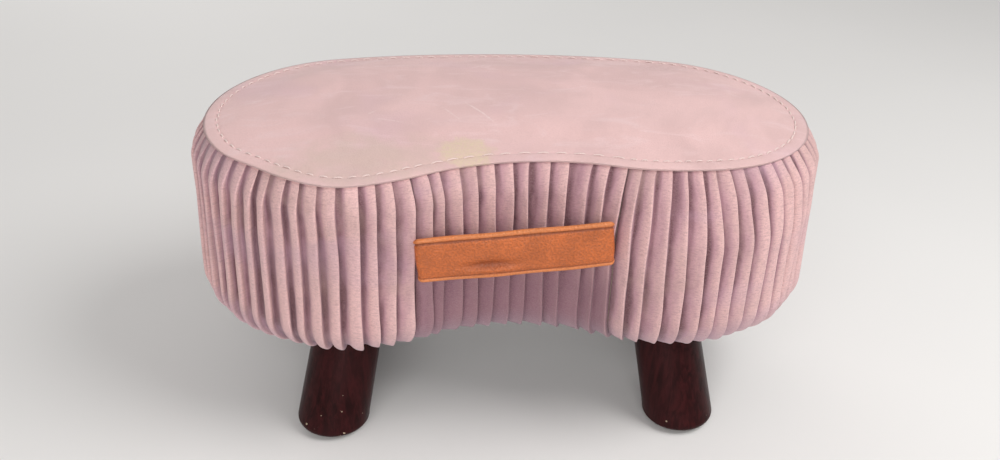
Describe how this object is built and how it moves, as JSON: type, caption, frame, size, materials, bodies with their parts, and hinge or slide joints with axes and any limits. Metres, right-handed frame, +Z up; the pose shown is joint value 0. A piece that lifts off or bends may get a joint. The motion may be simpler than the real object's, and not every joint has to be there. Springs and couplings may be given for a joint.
{
  "type": "footstool",
  "caption": "Pleated velvet footstool with a kidney-shaped crowned seat, splayed dark wooden legs that unscrew, and a leather carrying strap across its hollow front.",
  "frame": {"origin": "on the floor, under the middle of the footstool's bounding box", "axes": "+X along the seat's length to the right, +Y from the hollow front with the strap to the back, +Z up"},
  "size_m": [0.4439, 0.2355, 0.2221],
  "materials": {
    "velvet_top": "matte",
    "velvet_side": "matte",
    "pale_thread": "matte",
    "foam": "matte",
    "black_cloth": "matte",
    "plywood": "matte",
    "pine": "matte",
    "hardboard": "matte",
    "dark_wood": "satin",
    "strap_leather": "satin",
    "strap_backing": "matte",
    "zinc_steel": "satin",
    "glide_felt": "matte"
  },
  "bodies": {
    "seat": {"base_board": "plywood", "seat_board": "plywood", "post_end_left": "pine", "post_end_right": "pine", "post_front_left": "pine", "post_front_right": "pine", "post_back_left": "pine", "post_back_right": "pine", "seat_screws": "zinc_steel", "base_screws": "zinc_steel", "side_band": "hardboard", "side_foam": "foam", "seat_foam": "foam", "top_cover": "velvet_top", "top_stitching": "pale_thread", "side_pleats_front": "velvet_side", "side_pleats_wrap": "velvet_side", "dust_cover": "black_cloth", "staples": "zinc_steel", "tee_nut_front_left": "zinc_steel", "tee_nut_front_right": "zinc_steel", "tee_nut_back_left": "zinc_steel", "tee_nut_back_right": "zinc_steel"},
    "strap": {"strap_face": "strap_leather", "strap_lining": "strap_backing", "strap_rim_upper": "strap_leather", "strap_rim_lower": "strap_leather"},
    "leg_front_left": {"leg_front_left": "dark_wood", "hanger_bolt_front_left": "zinc_steel", "glide_front_left": "glide_felt"},
    "leg_front_right": {"leg_front_right": "dark_wood", "hanger_bolt_front_right": "zinc_steel", "glide_front_right": "glide_felt"},
    "leg_back_left": {"leg_back_left": "dark_wood", "hanger_bolt_back_left": "zinc_steel", "glide_back_left": "glide_felt"},
    "leg_back_right": {"leg_back_right": "dark_wood", "hanger_bolt_back_right": "zinc_steel", "glide_back_right": "glide_felt"}
  },
  "joints": [
    {"name": "strap_bow", "type": "slide", "parent": "seat", "child": "strap", "axis": [0, -1, 0], "range_m": [0, 0.01]},
    {"name": "leg_turn_front_left", "type": "hinge", "parent": "seat", "child": "leg_front_left", "pos_m": [-0.114, -0.05677, 0.082], "axis": [0, 0, 1], "continuous": true},
    {"name": "leg_turn_front_right", "type": "hinge", "parent": "seat", "child": "leg_front_right", "pos_m": [0.114, -0.05677, 0.082], "axis": [0, 0, 1], "continuous": true},
    {"name": "leg_turn_back_left", "type": "hinge", "parent": "seat", "child": "leg_back_left", "pos_m": [-0.114, 0.05123, 0.082], "axis": [0, 0, 1], "continuous": true},
    {"name": "leg_turn_back_right", "type": "hinge", "parent": "seat", "child": "leg_back_right", "pos_m": [0.114, 0.05123, 0.082], "axis": [0, 0, 1], "continuous": true}
  ]
}
